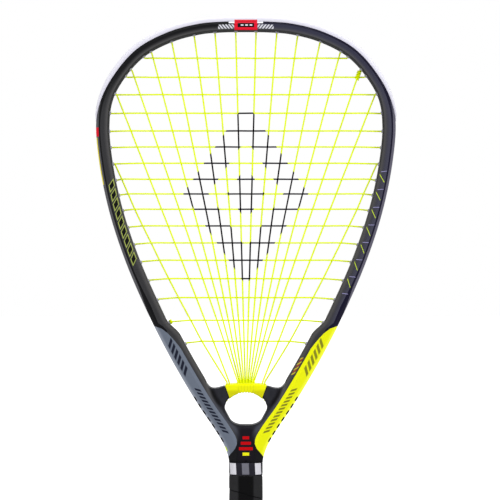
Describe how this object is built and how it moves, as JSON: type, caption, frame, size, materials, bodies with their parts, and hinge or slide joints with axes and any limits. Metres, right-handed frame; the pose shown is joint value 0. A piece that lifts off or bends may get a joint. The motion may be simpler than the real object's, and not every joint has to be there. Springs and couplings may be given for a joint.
{
  "type": "racquetball racket",
  "caption": "Teardrop racquetball racket: hollow graphite hairpin frame, woven fan string bed, throat yoke with grommet insert, bumper guard, wrapped octagonal handle and butt cap.",
  "frame": {"origin": "middle of the butt end's flat face", "axes": "+Z from the butt to the head, +X to the right across the head, +Y away from the viewer, square to the strings"},
  "size_m": [0.2672, 0.0292, 0.559],
  "materials": {
    "frame": "satin clear-coated graphite, grey to black, with grey and yellow panels",
    "yoke": "satin clear-coated graphite",
    "insert": "satin moulded plastic",
    "bumper": "moulded white plastic with a plain red and black print at the crown",
    "strips": "moulded black plastic",
    "string": "smooth coated nylon with a black print",
    "foam": "rigid foam",
    "pallet": "moulded structural foam",
    "grip": "tacky wrapped grip",
    "tape": "plain tape",
    "steel": "bright wire",
    "collar": "smooth rubber with plain badges",
    "cap": "moulded black plastic",
    "eyelet": "satin"
  },
  "bodies": {
    "root": {"frame": "frame", "throat_yoke": "yoke", "throat_insert": "insert", "bumper_guard": "bumper", "grommet_strip_left": "strips", "grommet_strip_right": "strips", "main_string": "string", "cross_string": "string", "leg_core_left": "foam", "leg_core_right": "foam", "pallet_front": "pallet", "pallet_back": "pallet", "grip": "grip", "finishing_tape": "tape", "grip_staple": "steel", "collar": "collar", "butt_cap": "cap", "cap_staple_front_left": "steel", "cap_staple_front_right": "steel", "cap_staple_back_left": "steel", "cap_staple_back_right": "steel", "tether_pin": "steel", "tether_eyelet": "eyelet"}
  },
  "joints": []
}
